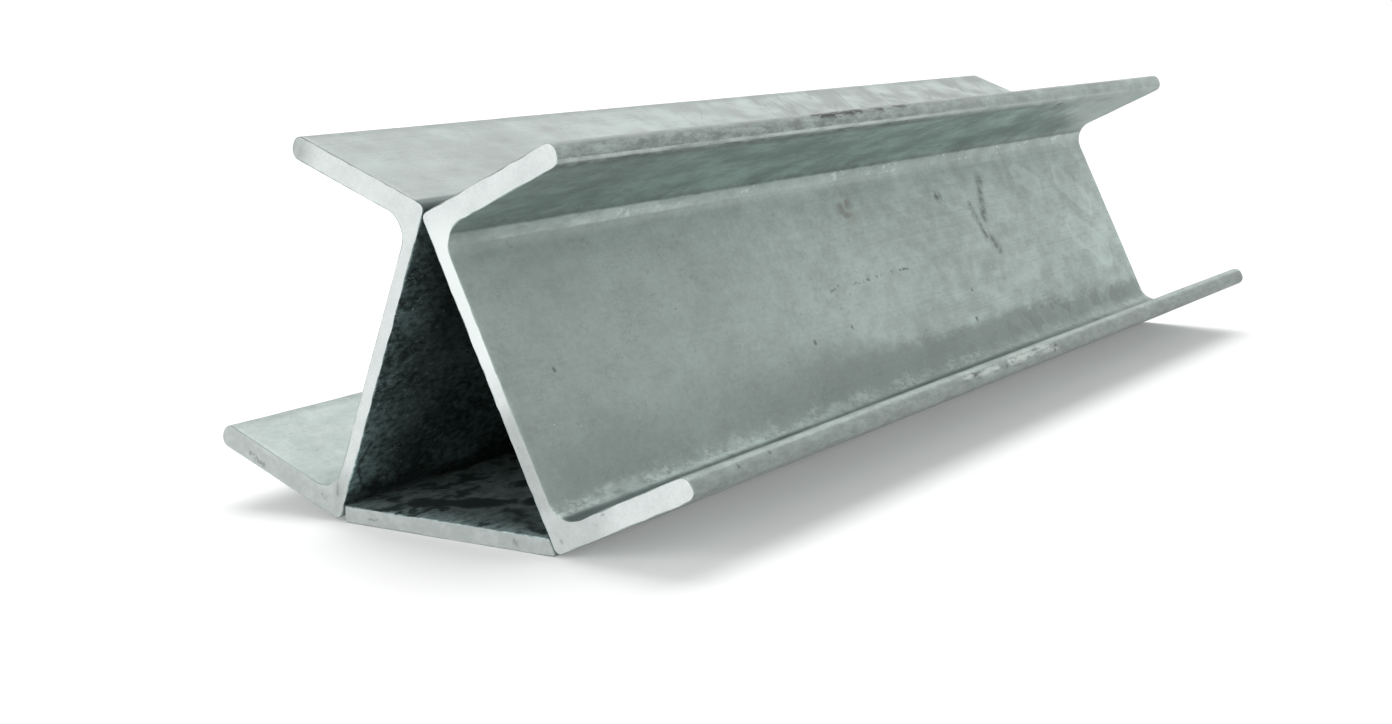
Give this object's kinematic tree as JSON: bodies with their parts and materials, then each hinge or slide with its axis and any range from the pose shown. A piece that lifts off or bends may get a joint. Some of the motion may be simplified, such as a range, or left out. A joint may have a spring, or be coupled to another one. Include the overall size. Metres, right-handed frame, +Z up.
{
  "type": "welded 45-degree retaining wall corner post",
  "caption": "Short length of galvanised corner post: channels welded heel to heel with a closing plate, leaving a panel slot on each side and a triangular hollow.",
  "frame": {"origin": "middle of the overall width and length, on the level of the closing plate's underside", "axes": "+Z up from the plate to the apex, +Y along the post from the end seen in the picture, +X towards the channel that leans more"},
  "size_m": [0.1678, 0.45, 0.1111],
  "materials": {
    "galvanised_channel": "hot-dip galvanised, dull and mottled, with pale zinc runs along the roots",
    "galvanised_plate": "hot-dip galvanised, dull grey, darker inside the hollow",
    "galvanised_weld": "rippled weld bead under the same zinc"
  },
  "bodies": {
    "root": {"right_channel": "galvanised_channel", "left_channel": "galvanised_channel", "closing_plate": "galvanised_plate", "apex_weld_1": "galvanised_weld", "apex_weld_2": "galvanised_weld", "apex_weld_3": "galvanised_weld", "right_seam_weld_1": "galvanised_weld", "right_seam_weld_2": "galvanised_weld", "right_seam_weld_3": "galvanised_weld", "left_seam_weld_1": "galvanised_weld", "left_seam_weld_2": "galvanised_weld", "left_seam_weld_3": "galvanised_weld"}
  },
  "joints": []
}
